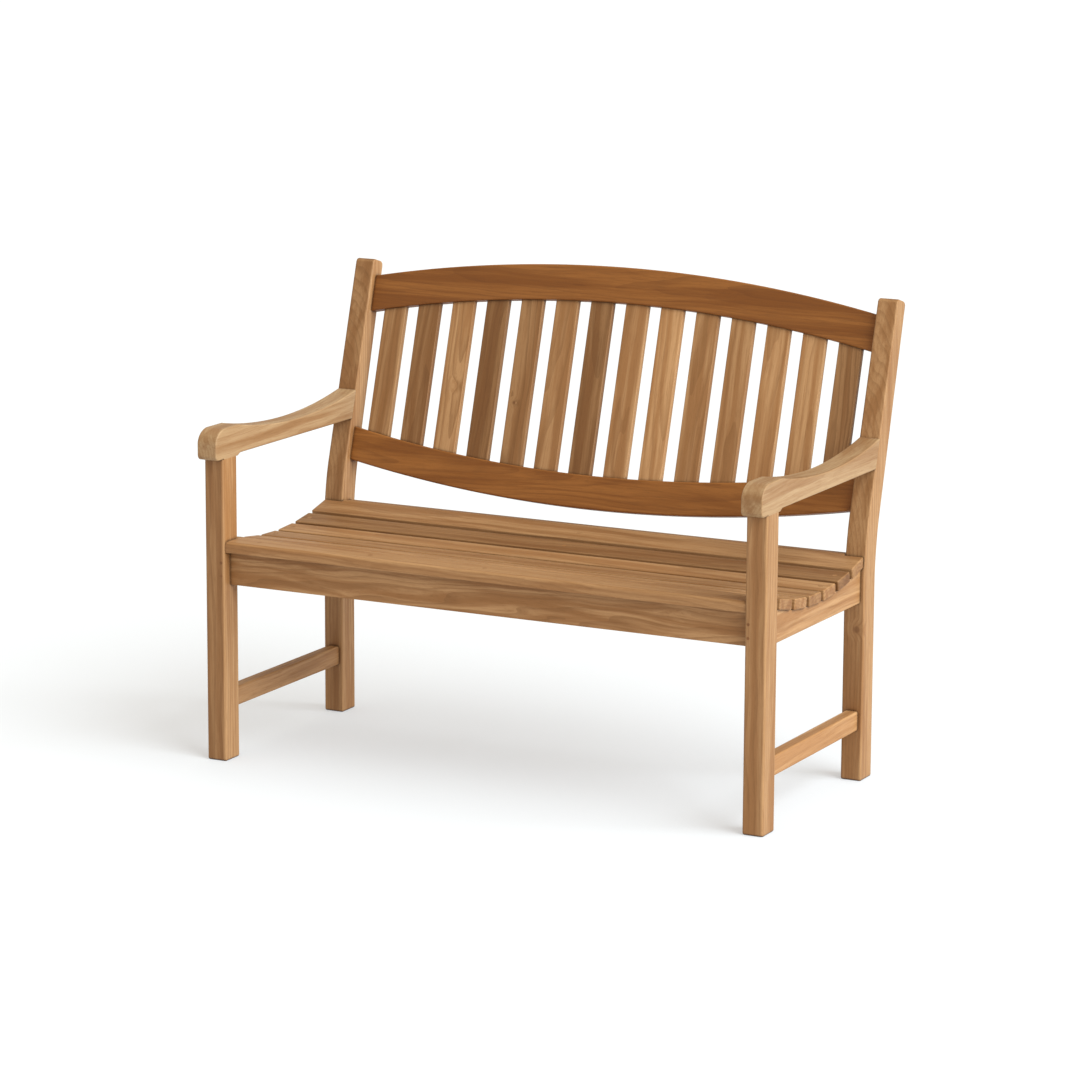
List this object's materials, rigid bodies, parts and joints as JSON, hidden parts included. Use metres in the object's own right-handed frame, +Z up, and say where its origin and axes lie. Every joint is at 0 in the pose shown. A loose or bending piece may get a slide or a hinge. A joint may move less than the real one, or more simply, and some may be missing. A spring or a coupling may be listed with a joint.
{
  "type": "garden bench",
  "caption": "Two-seat teak garden bench with an arched crest rail, a sagging lower back rail, upright back slats, swept arms, a dished slatted seat and side stretchers",
  "frame": {"origin": "on the floor, under the middle of the bench's overall box", "axes": "+Z up, -Y to the front of the bench, +X to the right of someone looking at its front"},
  "size_m": [1.2, 0.6626, 0.9428],
  "materials": {
    "frame_teak": "planed and sanded teak, satin, golden brown",
    "arm_teak": "shaped and sanded teak, satin, paler brown",
    "back_rail_teak": "sawn and sanded teak, satin, reddish brown",
    "back_slat_teak": "planed teak slats, satin, brown that varies from slat to slat",
    "seat_slat_teak": "planed teak slats with eased edges, satin",
    "peg_teak": "turned teak pegs, end grain, dark brown",
    "screw_steel": "plain stainless steel"
  },
  "bodies": {
    "root": {"front_leg_left": "frame_teak", "front_leg_right": "frame_teak", "rear_leg_left": "frame_teak", "rear_leg_right": "frame_teak", "arm_left": "arm_teak", "arm_right": "arm_teak", "crest_rail": "back_rail_teak", "lower_back_rail": "back_rail_teak", "back_slat_1": "back_slat_teak", "back_slat_2": "back_slat_teak", "back_slat_3": "back_slat_teak", "back_slat_4": "back_slat_teak", "back_slat_5": "back_slat_teak", "back_slat_6": "back_slat_teak", "back_slat_7": "back_slat_teak", "back_slat_8": "back_slat_teak", "back_slat_9": "back_slat_teak", "back_slat_10": "back_slat_teak", "back_slat_11": "back_slat_teak", "back_slat_12": "back_slat_teak", "back_slat_13": "back_slat_teak", "back_slat_14": "back_slat_teak", "front_seat_slat": "seat_slat_teak", "seat_slat_1": "seat_slat_teak", "seat_slat_2": "seat_slat_teak", "seat_slat_3": "seat_slat_teak", "seat_slat_4": "seat_slat_teak", "seat_slat_5": "seat_slat_teak", "seat_slat_6": "seat_slat_teak", "front_seat_rail": "frame_teak", "rear_seat_rail": "frame_teak", "side_seat_rail_left": "frame_teak", "side_seat_rail_right": "frame_teak", "centre_seat_bearer": "frame_teak", "side_stretcher_left": "frame_teak", "side_stretcher_right": "frame_teak", "front_rail_pegs": "peg_teak", "rear_rail_pegs": "peg_teak", "back_rail_pegs": "peg_teak", "seat_screws": "screw_steel", "seat_plugs": "seat_slat_teak"}
  },
  "joints": []
}
